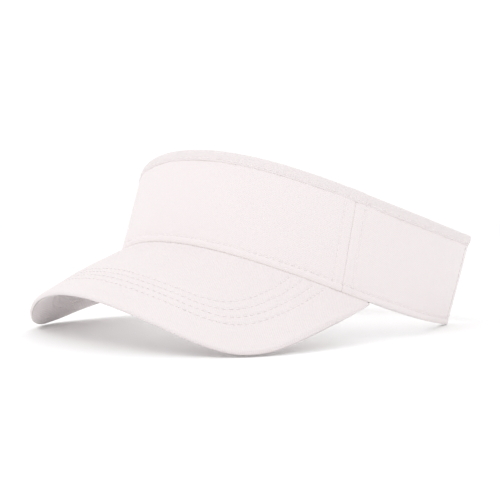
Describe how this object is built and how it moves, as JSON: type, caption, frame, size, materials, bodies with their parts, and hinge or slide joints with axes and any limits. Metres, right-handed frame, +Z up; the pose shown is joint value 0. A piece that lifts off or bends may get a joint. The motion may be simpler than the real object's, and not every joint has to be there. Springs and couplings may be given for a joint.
{
  "type": "sun visor",
  "caption": "Open-top twill sun visor: curved stitched brim, headband with sweatband, hook-and-loop strap across the back",
  "frame": {"origin": "centre of the bounding box in X and Y, on the table that the visor lies on", "axes": "+Z up with the visor lying on a table as in the picture; the brim points to -Y; +X is the wearer's left"},
  "size_m": [0.1982, 0.2332, 0.1005],
  "materials": {
    "twill": "matt cotton twill",
    "facing": "matt plain-weave cotton",
    "stiffener": "stiff open-weave buckram",
    "terry": "soft terry loops",
    "tape": "matt twill tape",
    "board": "satin polyethylene sheet",
    "thread": "spun polyester thread",
    "loop_pad": "brushed loops",
    "hook_pad": "moulded hooks"
  },
  "bodies": {
    "crown": {"front_panel": "twill", "front_buckram": "stiffener", "front_lining": "facing", "sweatband_front": "terry", "top_binding_front": "tape", "side_panel_fore_left": "twill", "side_panel_fore_right": "twill", "brim_top_cover": "twill", "brim_board": "board", "brim_bottom_cover": "twill", "brim_stitch_row_1": "thread", "brim_stitch_row_2": "thread", "brim_stitch_row_3": "thread", "brim_stitch_row_4": "thread"},
    "left_wing": {"side_panel_left": "twill", "side_lining_left": "facing", "sweatband_left": "terry", "top_binding_left": "tape", "strap_anchor_left": "twill"},
    "right_wing": {"side_panel_right": "twill", "side_lining_right": "facing", "sweatband_right": "terry", "top_binding_right": "tape", "strap_anchor_right": "twill"},
    "left_strap_body": {"left_strap": "twill", "loop_pad": "loop_pad"},
    "right_strap_body": {"right_strap": "twill"},
    "tab": {"hook_tab": "twill", "hook_pad": "hook_pad"}
  },
  "joints": [
    {"name": "size_adjust_left_wing", "type": "hinge", "parent": "crown", "child": "left_wing", "pos_m": [0.09219, 0.02219, 0.04175], "axis": [0, 0.3574, 0.934], "range_deg": [-5, 9]},
    {"name": "right_wing_flex", "type": "hinge", "parent": "crown", "child": "right_wing", "pos_m": [-0.09219, 0.02219, 0.04175], "axis": [0, 0.3574, 0.934], "range_deg": [-9, 5]},
    {"name": "left_strap_flex", "type": "hinge", "parent": "left_wing", "child": "left_strap_body", "pos_m": [0.08225, 0.09705, 0.02745], "axis": [0, 0.3574, 0.934], "range_deg": [-9, 5]},
    {"name": "right_strap_flex", "type": "hinge", "parent": "right_wing", "child": "right_strap_body", "pos_m": [-0.08225, 0.09705, 0.02745], "axis": [0, 0.3574, 0.934], "range_deg": [-5, 9]},
    {"name": "hook_tab_peel", "type": "hinge", "parent": "right_strap_body", "child": "tab", "pos_m": [-0.015, 0.11201, 0.02173], "axis": [0, 0.3574, 0.934], "range_deg": [0, 75]}
  ],
  "couplings": [
    {"joint": "right_wing_flex", "follows": "size_adjust_left_wing", "ratio": -1},
    {"joint": "left_strap_flex", "follows": "size_adjust_left_wing", "ratio": -1},
    {"joint": "right_strap_flex", "follows": "size_adjust_left_wing", "ratio": 1}
  ]
}
